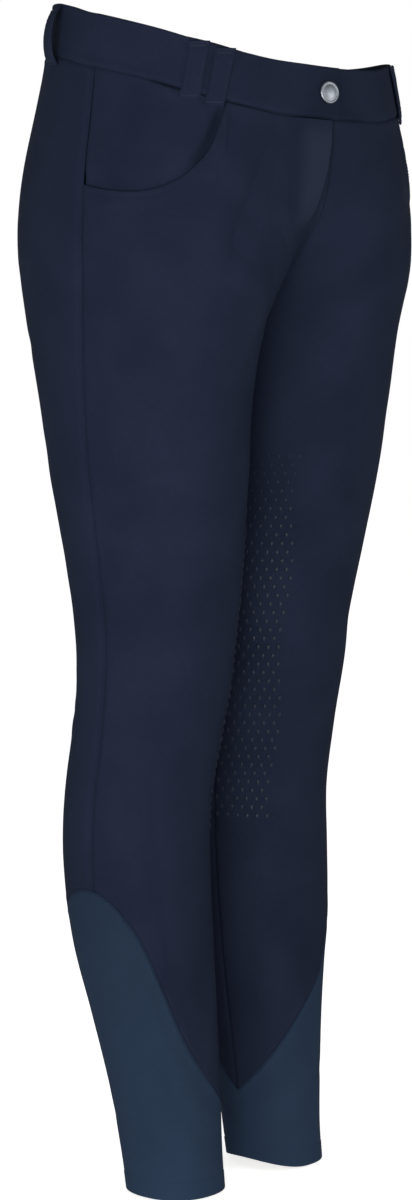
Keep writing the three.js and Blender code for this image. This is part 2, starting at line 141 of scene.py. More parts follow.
def faceAt(side, station, z):
    # Outer face of one half. The station runs from -1 at the middle back through 0 at the side seam
    # to 1 at the middle front or inner leg. x and y are a superellipse of the turn round the side seam,
    # with the valley at the middle rounded. Past 1 it goes on over the other half, or round the same leg.
    side, station, z = np.broadcast_arrays(np.asarray(side, float), station, np.asarray(z, float))
    body = z >= cut["crotch"]
    past = np.abs(station) > 1
    sign = np.sign(station)
    s = np.where(past, np.where(body, sign * 2 - station, station - sign * 2), station)
    half = np.where(past & body, -side, side)
    ring = ringAt(z)
    turn = np.abs(s) * np.radians(ring["middleTurn"])
    reach = ring["centre"] + ring["half"] * signedPower(np.cos(turn), 2 / cut["ringPower"])
    depth = np.abs(np.sin(turn)) ** (2 / cut["ringPower"])
    signedTurn = np.degrees(np.where(s < 0, -turn, turn))
    fold = 0
    for turnAt, zAt, across, high, lean, deep in folds:
        da = signedTurn - turnAt
        fold = fold + deep * bump(da, across) * bump(z - zAt - lean * da, high)
    x = np.sqrt(np.maximum(reach ** 2 - ring["soft"] ** 2, 0))
    y = np.where(s < 0, ring["seamY"] + (ring["back"] - fold) * depth,
                 ring["seamY"] - (ring["front"] - fold) * depth)
    return np.stack([half * x, y, z + 0 * x], -1)


def clothPoint(side, station, z, out):
    # A point moved out along the normal, which is the cross product of the steps up and round the face.
    side, station, z, out = np.broadcast_arrays(np.asarray(side, float), station, np.asarray(z, float), out)
    along = faceAt(side, station + 0.004, z) - faceAt(side, station - 0.004, z)
    up = faceAt(side, station, z + 0.5) - faceAt(side, station, z - 0.5)
    normal = np.cross(up, along)
    normal /= np.linalg.norm(normal, axis=-1, keepdims=True)
    p = faceAt(side, station, z) + normal * (side * out)[..., None]
    own = np.abs(station) <= 1
    p[..., 0] = np.where(own, side * np.maximum(side * p[..., 0], 0.02), p[..., 0])
    return p


def halfLength(z, back):
    # Length of the cloth from the side seam to the middle or the inner leg at a height, in mm.
    heights = np.linspace(-930, 25, 60)
    stations = np.linspace(0, 1, 160) * (-1 if back else 1)
    ring = faceAt(1, stations[None, :], heights[:, None])
    lengths = np.linalg.norm(np.diff(ring, axis=1), axis=-1).sum(1)
    return np.interp(z, heights, lengths)


def waistTurn(station):
    return station * ringAt(np.array(-60.0))["middleTurn"]


def bandTop(turn, side):
    return readTable(waistEdge, "turn", turn, "left" if side > 0 else "right")


def bandSeam(turn, side):
    return bandTop(turn, side) - cut["bandHeight"]


def cuffSeam(side, station):
    return readTable(cuffEdge, "turn", np.asarray(station) * 180, "left" if side > 0 else "right")


def softWaves(a, z, seed):
    # Slow unevenness of worn cloth: ten sines of 35 to 120 mm in different directions.
    rng = np.random.default_rng(seed)
    total = 0
    for _ in range(10):
        length, angle, phase = rng.uniform(35, 120), rng.uniform(0, math.pi), rng.uniform(0, 6.28)
        total = total + np.sin((a * math.cos(angle) + z * math.sin(angle)) * 6.283 / length + phase)
    return total / 10


def puckers(a, pitch):
    # Small gathers along a seam, uneven in size and spacing.
    wave = np.sin(6.283 * a / pitch + 1.4 * np.sin(6.283 * a / 31) + 0.8 * np.sin(6.283 * a / 13.7))
    return wave * (0.55 + 0.45 * np.sin(6.283 * a / 53 + 1))


def seamPuckers(a, pitch, e, reach):
    # Puckers that start a little way from a seam and die out over a reach.
    return puckers(a, pitch) * np.exp(-e / reach) * smooth(e / 1.5)


def creaseDepth(side, turn, z, perDegree):
    # Each crease is a trough with a softer ridge below it, both fading along their length.
    total = 0
    for on, turnAt, zAt, long, wide, slant, deep in creases:
        if on in (0, side):
            da, dz, t = (turn - turnAt) * perDegree, z - zAt, math.radians(slant)
            u, v = da * math.cos(t) + dz * math.sin(t), dz * math.cos(t) - da * math.sin(t)
            total = total + deep * bump(u, long) * (bump(v, wide) - 0.5 * bump(v + 1.9 * wide, 1.5 * wide))
    return total


def steps(length, gap, fineStart=True, fineEnd=True):
    # Distances from 0 to length, closer together at the ends.
    fine = np.array([0, 0.2, 0.5, 0.9, 1.4, 2.1, 3.1])
    start = fine if fineStart else np.array([0.0])
    end = length - fine[::-1] if fineEnd else np.array([length])
    middle = np.linspace(start[-1], end[0], max(2, int(round((end[0] - start[-1]) / gap)) + 1))
    return np.concatenate([start[:-1], middle, end[1:]])


def roundness(distance, half):
    # Half circle at a folded edge: 0 at the edge, 1 from half a thickness in.
    return np.sqrt(np.clip(1 - (1 - np.clip(distance / half, 0, 1)) ** 2, 0.004, 1))


# Colours and materials.
def linear(code):
    values = [int(code[i:i + 2], 16) / 255 for i in (1, 3, 5)]
    return [v / 12.92 if v <= 0.04045 else ((v + 0.055) / 1.055) ** 2.4 for v in values] + [1.0]


def addNode(material, kind, settings=None, links=None):
    # A node with its values, by socket or by property, and the sockets that feed it.
    node = material.node_tree.nodes.new("ShaderNode" + kind)
    for key, value in (settings or {}).items():
        if isinstance(key, int) or key in node.inputs:
            node.inputs[key].default_value = value
        else:
            setattr(node, key, value)
    for key, (source, output) in (links or {}).items():
        material.node_tree.links.new(source.outputs[output], node.inputs[key])
    return node


def newMaterial(name):
    material = bpy.data.materials.new(name)
    material.use_nodes = True
    material.node_tree.nodes.clear()
    return material


def toneRamp(material, source, output, deep, light, start=0.0, end=1.0):
    # A colour between two tones of one dye.
    tone = addNode(material, "ValToRGB", links={"Fac": (source, output)})
    first, last = tone.color_ramp.elements
    first.position, last.position = start, end
    first.color, last.color = linear(deep), linear(light)
    return tone


def finishMaterial(material, shader):
    addNode(material, "OutputMaterial", links={"Surface": (shader, "BSDF")})
    return material


clothLook = {
    "deep": "#131928", "light": "#191f2f",  # navy dye, a little uneven after wear and pressing
    "painted_lap_light": "#1e2434",  # painted light: paler where the bulging lap of the fly faces the lamps
    "twillStep": 1.7,  # twill ribs are 0.5 mm apart, drawn at 1.7 mm so that they show at all
    "grain": 3.2, "mottle": 60.0, "roughness": 0.85, "specular": 0.03, "ribs": 0.35, "nap": 0.6}


def stretchTwill(name, look):
    # Woven polyamide and elastane twill: matt, dense, with a fine diagonal and a soft brushed face.
    m = newMaterial(name)
    uv = addNode(m, "UVMap", {"uv_map": "cloth"})
    ribs = addNode(m, "TexWave", {
        "bands_direction": "DIAGONAL", "Scale": 0.444 / (look["twillStep"] * 0.001),
        "Distortion": 0.6, "Detail": 1.0, "Detail Scale": 1.5}, {"Vector": (uv, "UV")})
    grain = addNode(m, "TexNoise", {"Scale": 1000 / look["grain"], "Detail": 3.0, "Roughness": 0.6},
                    {"Vector": (uv, "UV")})
    mottle = addNode(m, "TexNoise", {"Scale": 1000 / look["mottle"], "Detail": 2.0}, {"Vector": (uv, "UV")})
    shade = addNode(m, "Mix", {"data_type": "FLOAT", 0: 0.3}, {2: (mottle, "Fac"), 3: (grain, "Fac")})
    tone = toneRamp(m, shade, 0, look["deep"], look["light"], 0.32, 0.68)
    # Painted light: this attribute marks where the lap of the fly is coloured paler, where its bulge faces the
    # lamps.
    painted_lap_light_node = addNode(m, "Attribute", {"attribute_name": "painted_lap_light"})
    tone = addNode(m, "Mix", {"data_type": "RGBA", 7: linear(look["painted_lap_light"])},
                   {0: (painted_lap_light_node, "Fac"), 6: (tone, "Color")})
    relief = addNode(m, "Bump", {"Strength": look["nap"], "Distance": 0.0006}, {"Height": (grain, "Fac")})
    weave = addNode(m, "Bump", {"Strength": look["ribs"], "Distance": 0.0003},
                    {"Height": (ribs, "Fac"), "Normal": (relief, "Normal")})
    return finishMaterial(m, addNode(m, "BsdfPrincipled", {
        "Roughness": look["roughness"], "Specular IOR Level": look["specular"]},
        {"Base Color": (tone, 2), "Normal": (weave, "Normal")}))


knitLook = {
    "deep": "#182434", "light": "#1f2d40",  # the same navy in a lighter, bluer yarn
    "wale": 2.2,  # wales are 0.7 mm apart, drawn at 2.2 mm so that they show
    "course": 2.4, "mottle": 70.0, "roughness": 0.82, "specular": 0.04}


def finishedKnit(name, look):
    # Fine elastic jersey: thin and smooth, with upright wales crossed by rows of loops.
    m = newMaterial(name)
    uv = addNode(m, "UVMap", {"uv_map": "cloth"})
    wales = addNode(m, "TexWave", {"bands_direction": "X", "Scale": 0.314 / (look["wale"] * 0.001),
                                   "Distortion": 0.4, "Detail": 1.0}, {"Vector": (uv, "UV")})
    courses = addNode(m, "TexWave", {"bands_direction": "Y", "Scale": 0.314 / (look["course"] * 0.001),
                                     "Distortion": 0.8, "Detail": 1.0}, {"Vector": (uv, "UV")})
    mottle = addNode(m, "TexNoise", {"Scale": 1000 / look["mottle"], "Detail": 3.0}, {"Vector": (uv, "UV")})
    height = addNode(m, "SeparateXYZ", links={0: (uv, "UV")})
    # Painted light: the jersey is coloured paler toward the hem, standing in for light from the floor.
    hem_painted_light = addNode(m, "MapRange", {"From Min": -0.70, "From Max": -0.92, "To Min": 0.25, "To Max": 0.8},
                    {"Value": (height, 1)})  # painted light: paler toward the hem, as lit from the floor below
    shade = addNode(m, "Mix", {"data_type": "FLOAT", 0: 0.6}, {2: (mottle, "Fac"), 3: (hem_painted_light, "Result")})
    tone = toneRamp(m, shade, 0, look["deep"], look["light"], 0.3, 0.72)
    loops = addNode(m, "Bump", {"Strength": 0.25, "Distance": 0.0003}, {"Height": (courses, "Fac")})
    ribs = addNode(m, "Bump", {"Strength": 0.35, "Distance": 0.0004},
                   {"Height": (wales, "Fac"), "Normal": (loops, "Normal")})
    return finishMaterial(m, addNode(m, "BsdfPrincipled", {
        "Roughness": look["roughness"], "Specular IOR Level": look["specular"]},
        {"Base Color": (tone, "Color"), "Normal": (ribs, "Normal")}))


def spunThread(name):
    # Polyester sewing thread, dyed to match: a little glossier than the cloth, mottled by its twist.
    m = newMaterial(name)
    place = addNode(m, "TexCoord")
    twist = addNode(m, "TexNoise", {"Scale": 900.0, "Detail": 1.0}, {"Vector": (place, "Object")})
    tone = toneRamp(m, twist, "Fac", "#161d2d", "#1c2435")
    return finishMaterial(m, addNode(m, "BsdfPrincipled", {
        "Roughness": 0.75, "Specular IOR Level": 0.12}, {"Base Color": (tone, "Color")}))


def satinZinc(name):
    # Plated zinc, cast and tumbled: satin silver with fine rub marks.
    m = newMaterial(name)
    place = addNode(m, "TexCoord")
    rub_and_painted_light = addNode(m, "TexNoise", {"Scale": 700.0, "Detail": 3.0}, {"Vector": (place, "Object")})
    tone = toneRamp(m, rub_and_painted_light, "Fac", "#6d737c", "#939aa3")
    rough = addNode(m, "MapRange", {"To Min": 0.34, "To Max": 0.5}, {"Value": (rub_and_painted_light, "Fac")})
    relief = addNode(m, "Bump", {"Strength": 0.2, "Distance": 0.0001}, {"Height": (rub_and_painted_light, "Fac")})
    return finishMaterial(m, addNode(m, "BsdfPrincipled", {"Metallic": 1.0}, {
        "Base Color": (tone, "Color"), "Roughness": (rough, "Result"), "Normal": (relief, "Normal")}))


def printedSilicone(name):
    # Screen-printed silicone: clear rubber tinted navy, domed, with a soft wet gloss.
    m = newMaterial(name)
    place = addNode(m, "TexCoord")
    dust = addNode(m, "TexNoise", {"Scale": 260.0, "Detail": 2.0}, {"Vector": (place, "Object")})
    tone = toneRamp(m, dust, "Fac", "#121827", "#161d2c")
    rough = addNode(m, "MapRange", {"To Min": 0.42, "To Max": 0.55}, {"Value": (dust, "Fac")})
    return finishMaterial(m, addNode(m, "BsdfPrincipled", {"Specular IOR Level": 0.22, "IOR": 1.41}, {
        "Base Color": (tone, "Color"), "Roughness": (rough, "Result")}))


twill = stretchTwill("stretch_twill", clothLook)
knit = finishedKnit("elastic_jersey", knitLook)
thread = spunThread("polyester_thread")
metal = satinZinc("satin_zinc")
silicone = printedSilicone("printed_silicone")
print("materials made")


# Meshes from grids.
def gridWall(outer, inner, wraps):
    # Closed wall between two grids of points: quads on both faces and round the rims.
    rows, cols = outer.shape[:2]
    count = rows * cols
    i, j = np.meshgrid(np.arange(rows - 1), np.arange(cols if wraps else cols - 1), indexing="ij")
    i, j = i.ravel(), j.ravel()
    corners = [(i, j), (i + 1, j), (i + 1, j + 1), (i, j + 1)]
    face = np.stack([a * cols + b % cols for a, b in corners], 1)
    uvAt = np.stack([a * (cols + 1) + b for a, b in corners], 1)
    parts, uvParts = [face, face[:, ::-1] + count], [uvAt, uvAt[:, ::-1]]

    def rim(a, b, flip):
        # a and b are the (row, column) arrays of one edge and the next point on it
        ends = [a[0] * cols + a[1] % cols, b[0] * cols + b[1] % cols]
        uvs = [a[0] * (cols + 1) + a[1], b[0] * (cols + 1) + b[1]]
        quad = np.stack([ends[0], ends[1], ends[1] + count, ends[0] + count], 1)
        uvQuad = np.stack([uvs[0], uvs[1], uvs[1], uvs[0]], 1)
        parts.append(quad[:, ::-1] if flip else quad)
        uvParts.append(uvQuad[:, ::-1] if flip else uvQuad)

    across = np.arange(cols if wraps else cols - 1)
    for row, flip in ((0, False), (rows - 1, True)):
        rim((across * 0 + row, across), (across * 0 + row, across + 1), not flip)
    if not wraps:
        down = np.arange(rows - 1)
        for col, flip in ((0, True), (cols - 1, False)):
            rim((down, down * 0 + col), (down + 1, down * 0 + col), not flip)
    points = np.concatenate([outer.reshape(-1, 3), inner.reshape(-1, 3)])
    quads, uvIndex = np.concatenate(parts), np.concatenate(uvParts)
    a, b, c = (points[quads[:, k]] for k in (0, 1, 2))
    d = points[quads[:, 3]]
    volume = (np.einsum("ij,ij->i", a, np.cross(b, c)) + np.einsum("ij,ij->i", a, np.cross(c, d))).sum()
    if volume < 0:
        quads, uvIndex = quads[:, ::-1], uvIndex[:, ::-1]
    return points, quads, uvIndex


def makeObject(name, points, faces, material, node=None, uv=None):
    mesh = bpy.data.meshes.new(name)
    mesh.from_pydata((points * 0.001).tolist(), [], faces if isinstance(faces, list) else faces.tolist())
    mesh.polygons.foreach_set("use_smooth", np.ones(len(mesh.polygons), bool))
    if uv is not None:
        layer = mesh.uv_layers.new(name="cloth")
        layer.data.foreach_set("uv", uv.astype(np.float32).ravel())
    mesh.materials.append(material)
    mesh.update()
    piece = bpy.data.objects.new(name, mesh)
    bpy.context.scene.collection.objects.link(piece)
    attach(piece, "root")
    if node:
        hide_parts(node)
    return piece


sheets = []


def clothPiece(name, side, station, z, outer, inner, edge=1.0, material=twill,
               held="stretched", wraps=False):
    # A wall of cloth: its station, height and the two depths are grids, and edge thins it where it is rounded.
    # Its map runs with the cloth, in metres. It takes the place of the node of its name.
    half, mid = (outer - inner) / 2, (outer + inner) / 2
    top = clothPoint(side, station, z, mid + half * edge)
    under = clothPoint(side, station, z, mid - half * edge)
    closed = np.concatenate([top, top[:, :1]], 1)
    stepsAcross = np.linalg.norm(np.diff(closed, axis=1), axis=-1)
    u = np.concatenate([np.zeros((len(top), 1)), np.cumsum(stepsAcross, 1)], 1)
    u = u - u[:, [top.shape[1] // 2]]
    v = np.concatenate([z, z[:, :1]], 1)
    points, quads, uvIndex = gridWall(top, under, wraps)
    uv = np.stack([u, v], -1).reshape(-1, 2)[uvIndex.ravel()] * 0.001
    piece = makeObject(name, points, quads, material, name, uv)
    across = stepsAcross if wraps else stepsAcross[:, :-1]
    down = np.linalg.norm(np.diff(top, axis=0), axis=-1)
    face = closed if wraps else top
    a, b, c, d = face[:-1, :-1], face[1:, :-1], face[1:, 1:], face[:-1, 1:]
    doubled = (np.linalg.norm(np.cross(b - a, c - a), axis=-1)
               + np.linalg.norm(np.cross(c - a, d - a), axis=-1))
    area = 0.5 * doubled.sum()
    sheets.append((piece, across.sum(1).max() * 0.001, down.sum(0).max() * 0.001, area * 1e-6, held))
    return piece


def turnedFaces(rings, sides):
    # Faces of a body with a point at each end and rings of points between.
    faces = []
    last = 1 + rings * sides
    for k in range(sides):
        n = (k + 1) % sides
        faces.append([0, 1 + n, 1 + k])
        for low in range(1, last - sides, sides):
            faces.append([low + k, low + n, low + sides + n, low + sides + k])
        faces.append([last - sides + k, last - sides + n, last])
    return faces


def beadShape(length, width, height, rings=4, sides=6):
    # A rice grain: a circle carried along its length, blunter at its ends than an ellipse.
    t = np.linspace(-1, 1, rings + 2)[1:-1]
    angle = np.linspace(0, 2 * math.pi, sides, endpoint=False)
    swell = (1 - t ** 2) ** 0.35
    ring = np.stack([np.repeat(t * length / 2, sides), np.outer(swell, np.cos(angle)).ravel() * width / 2,
                     np.outer(swell, np.sin(angle)).ravel() * height / 2], 1)
    return np.concatenate([[[-length / 2, 0, 0]], ring, [[length / 2, 0, 0]]]), turnedFaces(rings, sides)


def lozengeShape(length, width, height, sides=12):
    # A low dome over a rounded lozenge, closed underneath.
    angle = np.linspace(0, 2 * math.pi, sides, endpoint=False)
    x, y = signedPower(np.cos(angle), 1.45) * length / 2, signedPower(np.sin(angle), 1.45) * width / 2
    rings = [(1.0, -0.35), (0.96, 0.35), (0.78, 0.8), (0.4, 1.0)]
    points = np.concatenate([np.stack([x * k, y * k, 0 * x + h * height], 1) for k, h in rings]
                            + [[[0, 0, height * 1.04], [0, 0, -0.35 * height]]])
    faces = []
    for k in range(sides):
        n = (k + 1) % sides
        for r in range(3):
            faces.append([r * sides + k, r * sides + n, (r + 1) * sides + n, (r + 1) * sides + k])
        faces.append([3 * sides + k, 3 * sides + n, 4 * sides])
        faces.append([n, k, 4 * sides + 1])
    return points, faces


def scatter(name, shape, centre, along, up, material, scale=None):
    # Copies of one small shape, each with its length along one direction and its height along the other.
    points, faces = shape
    along = along / np.linalg.norm(along, axis=-1, keepdims=True)
    up = up - along * (up * along).sum(-1, keepdims=True)
    up = up / np.linalg.norm(up, axis=-1, keepdims=True)
    across = np.cross(up, along)
    local = points[None] * (np.ones(len(centre)) if scale is None else scale)[:, None, None]
    placed = (centre[:, None] + local[:, :, :1] * along[:, None] + local[:, :, 1:2] * across[:, None]
              + local[:, :, 2:] * up[:, None])
    allFaces = []
    for corners in (3, 4):
        kind = np.array([f for f in faces if len(f) == corners])
        if len(kind):
            shift = np.arange(len(centre)) * len(points)
            allFaces += (kind[None] + shift[:, None, None]).reshape(-1, corners).tolist()
    return makeObject(name, placed.reshape(-1, 3), allFaces, material)


def alongPath(side, station, z, out, pitch, start=0.0):
    # Places at even distances on a line over the cloth, with its direction and the cloth's normal there.
    line = clothPoint(side, station, z, out)
    run = np.concatenate([[0], np.cumsum(np.linalg.norm(np.diff(line, axis=0), axis=-1))])
    at = np.arange(start + pitch / 2, run[-1] - pitch / 3, pitch)
    s, h = np.interp(at, run, station), np.interp(at, run, z)
    o = np.interp(at, run, out) if np.ndim(out) else out
    centre = clothPoint(side, s, h, o)
    ahead = np.stack([np.interp(at + 0.5, run, axis) - np.interp(at - 0.5, run, axis) for axis in line.T], 1)
    return centre, ahead, clothPoint(side, s, h, o + 1.0) - centre


stitch = {"pitch": 3.1, "length": 2.5, "width": 0.62, "height": 0.5}


def stitchLine(name, lines, pitch=None, length=None):
    # Top-stitching along one or more lines, sunk a little into the cloth.
    found = [alongPath(*line, pitch or stitch["pitch"]) for line in lines]
    centre, ahead, up = (np.concatenate([f[k] for f in found]) for k in range(3))
    shape = beadShape(length or stitch["length"], stitch["width"], stitch["height"])
    return scatter(name, shape, centre, ahead, up, thread)


# Leg panels.
# Lengths are those of the cloth from the side seam to the middle, at the hips and at the knit seam.
panel = {"length": 232.0, "lengthLow": 165.0, "gapAcross": 3.1, "gapDown": 3.5,
         "bandPitch": 8.3, "cuffPitch": 7.6, "seamDip": 1.5, "seamWidth": 1.1, "seamPuff": 0.22,
         "pocketRise": 0.8, "pocketHem": 9.0, "puckerBand": 0.32, "puckerCuff": 0.4, "waves": 0.35}
pocketEnd = pocketEdge["turn"][-1]

# How sharply the waist seam reads along the waist: nearly flat over the hips, sharp just before the loops.
seamShare = {"turn": [-100, -18, -8, 22, 28, 36, 44, 54, 80, 90, 100],
             "right": [0.6, 0.6, 0.35, 0.25, 1.3, 1.3, 0.6, 1.0, 1.0, 0.5, 0.4],
             "left": [0.6, 0.6, 0.4, 0.4, 0.6, 0.7, 0.6, 0.7, 0.6, 0.5, 0.4]}


def frontTop(turn, side):
    seam = bandSeam(turn, side)
    edge = readTable(pocketEdge, "turn", np.clip(turn, 0, pocketEnd), "z")
    return np.where(turn < pocketEnd, np.minimum(edge, seam), seam)


def seamRelief(e):
    # A sewn seam: the cloth turns down into it and swells a little beside it.
    return -panel["seamDip"] * bump(e, panel["seamWidth"]) + panel["seamPuff"] * bump(e - 3.2, 2.2)


def sideRelief(e):
    # The side seam is pressed deeper and wider than the others.
    return 1.7 * seamRelief(e * 0.75)


def waistRelief(e, turn, side):
    # The waist seam: sharp where its share is high, a soft roll over the seam allowance where it is low.
    share = readTable(seamShare, "turn", turn, "left" if side > 0 else "right")
    return (-panel["seamDip"] * share * bump(e, panel["seamWidth"])
            + (panel["seamPuff"] + 0.45 * np.clip(1 - share, 0, 1)) * bump(e - 3.4, 2.4))


def slopeOf(values, station, length):
    return np.sqrt(1 + (np.gradient(values, station * length)) ** 2)


def legPanel(name, side, back):
    sign = -1 if back else 1
    length = panel["length"]
    station = steps(length, panel["gapAcross"]) / length
    if not back:
        station = np.unique(np.concatenate([station, np.linspace(0.40, 0.565, 34)]))
        station = station[np.concatenate([[True], np.diff(station) > 0.0007])]
    turn = waistTurn(station) * sign
    top = bandSeam(turn, side) if back else frontTop(turn, side)
    s = station * sign
    bottom = cuffSeam(side, s)
    topSlope = slopeOf(top, station, length)
    bottomSlope = slopeOf(bottom, station, panel["lengthLow"])
    # Rows: fine ones under the top edge, even ones to the yoke, the knee and the knit seam, fine ones there.
    fine = np.array([0, 0.2, 0.5, 0.9, 1.4, 2.1, 3.1, 4.4, 6, 8, 10])
    under = top[None, :] - fine[:, None] * np.minimum(topSlope, 3.2)[None, :]
    t = np.linspace(0, 1, 26)[1:, None]
    yoke = under[-1:] + (cut["yoke"] - under[-1:]) * t
    middle = np.linspace(cut["yoke"], cut["knee"], int((cut["yoke"] - cut["knee"]) / panel["gapDown"]))[1:]
    middle = np.repeat(middle[:, None], len(s), 1)
    over = bottom[None, :] + fine[::-1][:, None] * bottomSlope[None, :]
    t = np.linspace(0, 1, 78)[1:, None]
    low = middle[-1:] + (over[:1] - middle[-1:]) * t
    z = np.concatenate([under, yoke, middle, low, over[1:]])
    s = np.repeat(s[None, :], len(z), 0)
    around = halfLength(z, back)
    a = s * around
    eSide, eMiddle = np.abs(s) * around, (1 - np.abs(s)) * around
    eTop, eBottom = (top[None] - z) / topSlope[None], (z - bottom[None]) / bottomSlope[None]
    signedTurn = s * ringAt(z)["middleTurn"]
    underFly = 0.0 if back else smooth((z + 172) / 20)  # the front edges lie flat under the fly
    outer = sideRelief(eSide) + (1 - underFly) * seamRelief(eMiddle) + seamRelief(eBottom)
    outer = outer + panel["waves"] * softWaves(a, z, 5 + side + 3 * back) * smooth(eTop / 25)
    outer = outer + panel["puckerCuff"] * seamPuckers(a, panel["cuffPitch"], eBottom, 7)
    outer = outer - creaseDepth(side, signedTurn, z, around / ringAt(z)["middleTurn"])
    pocket = np.zeros_like(z) if back else (turn < pocketEnd - 0.01).astype(float)[None, :] + 0 * z
    seam = waistRelief(eTop, turn[None], side)
    seam = seam + panel["puckerBand"] * seamPuckers(a, panel["bandPitch"], eTop, 8)
    rise = panel["pocketRise"] + 0.9 * bump(turn - 46, 6)[None]
    hemmed = rise * (1 - smooth((eTop - panel["pocketHem"]) / 6)) - 0.35 * bump(eTop - 3.6, 0.9)
    hemmed = hemmed + 0.28 * puckers(a, 5.1) * bump(eTop - 3.6, 4.5)
    outer = outer + np.where(pocket > 0, hemmed, seam)
    inner = outer * 0 - cut["cloth"] - 1.0 * bump(eSide, 1.2) - 2.4 * bump(eMiddle, 1.8)
    clothPiece(name, side, s, z, outer, inner, np.where(pocket > 0, roundness(eTop, 1.1), 1))


sides = (("right", -1), ("left", 1))
for word, side in sides:
    legPanel("front_" + word, side, False)
    legPanel("back_" + word, side, True)
print("leg panels made")


# Pocket facings, flush with the back panel at the side seam and sinking behind the pocket edge
facing = {"wall": 1.2, "below": 14.0, "sunk": 2.0, "flush": 0.35, "hollow": 4.2}
for word, side in sides:
    station = steps(140, 2.8) / 140 * 0.6
    turn = waistTurn(station)
    top = bandSeam(turn, side)
    edge = np.minimum(readTable(pocketEdge, "turn", np.clip(turn, 0, pocketEnd), "z"), top)
    bottom = edge - facing["below"]
    t = steps(80, 2.6)[:, None] / 80
    z = top + (bottom - top) * t
    s = np.repeat(station[None, :], len(z), 0)
    around = halfLength(z, False)
    above = z - edge[None]
    raised = smooth((above - 1) / 15) * smooth((top - edge)[None] / 30)
    outer = (facing["sunk"] - facing["flush"]) * raised - facing["sunk"]
    aside = above / slopeOf(edge, station, panel["length"])[None]
    hollow = bump(aside - 2.0, 9.0) * smooth((turn[None] - 37) / 9) * smooth((-68 - z) / 14)
    outer = outer - facing["hollow"] * hollow
    outer = outer + sideRelief(s * around)
    outer = outer + waistRelief(top[None] - z, turn[None], side) * smooth((top - edge)[None] / 20)
    outer = outer + 0.25 * softWaves(s * around, z, 21 + side) * smooth(above / 15)
    outer = outer - creaseDepth(side, s * ringAt(z)["middleTurn"], z, 1.5) * smooth(above / 6)
    outer = outer + 0.3 * seamPuckers(s * around, panel["bandPitch"], top[None] - z, 8)
    clothPiece("pocket_facing_" + word, side, s, z, outer, outer - facing["wall"])
print("pocket facings made")

# Waistband.
band = {"proud": 0.6, "wall": 2.6, "lapReach": 9.0, "underlapReach": 14.0, "lapStep": 0.8, "underStep": 1.9}


def stationBeside(side, x, z):
    # Station of the front at a distance from the mid plane, past 1 on the other half.
    grid = np.linspace(0, 1, 4001)
    found = np.interp(-abs(x), -np.abs(faceAt(side, grid, z)[:, 0]), grid)
    return found if side * x >= 0 else 2 - found


def bandShift(station, lapping):
    s = smooth((station - 0.8) / 0.14)
    return (band["lapStep"] if lapping else -band["underStep"]) * s


for word, side in sides:
    lapping = side < 0
    reach = band["lapReach"] if lapping else band["underlapReach"]
    end = stationBeside(side, -side * reach, -58.0)
    length = 460.0
    station = steps(length, 2.7, False, True) / length * (end + 1) - 1
    shown = np.where(station > 1, 2 - station, station)
    top = bandTop(waistTurn(shown), side)
    depth = steps(cut["bandHeight"], 1.9)[:, None]
    z = top[None] - depth
    s = np.repeat(station[None, :], len(z), 0)
    a = s * 226
    eTop, eBottom = depth + 0 * z, cut["bandHeight"] - depth + 0 * z
    eEnd = (end - s) * 200
    outer = band["proud"] + bandShift(s, lapping) + 0.35 * np.sin(math.pi * depth / cut["bandHeight"])
    outer = outer + waistRelief(eBottom, waistTurn(shown)[None], side)
    outer = outer + 0.22 * bump(eTop - 2.2, 1.6) - 0.12 * bump(eTop - 5.0, 0.9)
    outer = outer + 0.25 * softWaves(a, z * 1.3, 31 + side)
    outer = outer + 0.22 * seamPuckers(a, panel["bandPitch"], eBottom, 6)
    outer = outer + 0.1 * puckers(a, 6.1) * np.exp(-eTop / 4)
    inner = band["proud"] - band["wall"] + bandShift(s, lapping) + 0 * outer
    edgeRound = roundness(eTop, 1.3) * roundness(eEnd + 0.05, 1.3)
    clothPiece("waistband_" + word, side, s, z, outer, inner, edgeRound)
print("waistband made")

# Belt loops.
loop = {"width": 16.0, "tail": 7.0, "wall": 1.8, "level": -50.0, "waisted": 0.07, "stitch": 0.62}
# Name, turns of the top and the foot, seat of the foot and how far the middle bows out, in mm.
loopRows = (("belt_loop_outer", 42.2, 40.6, -1.4, 1.0), ("belt_loop_inner", 52.0, 50.3, 0.3, 1.0),
            ("belt_loop_rear", -21.5, -21.0, 0.3, 6.8))


def loopStand(t, seat, bow):
    # Inner face of a loop: on the band at the top, bowed out along the middle, on its seat at the foot.
    rise = np.sin(math.pi * np.clip(t, 0, 1)) ** 0.6
    rest = band["proud"] + 0.3
    return rest + (seat - rest) * t ** 6 + bow * rise


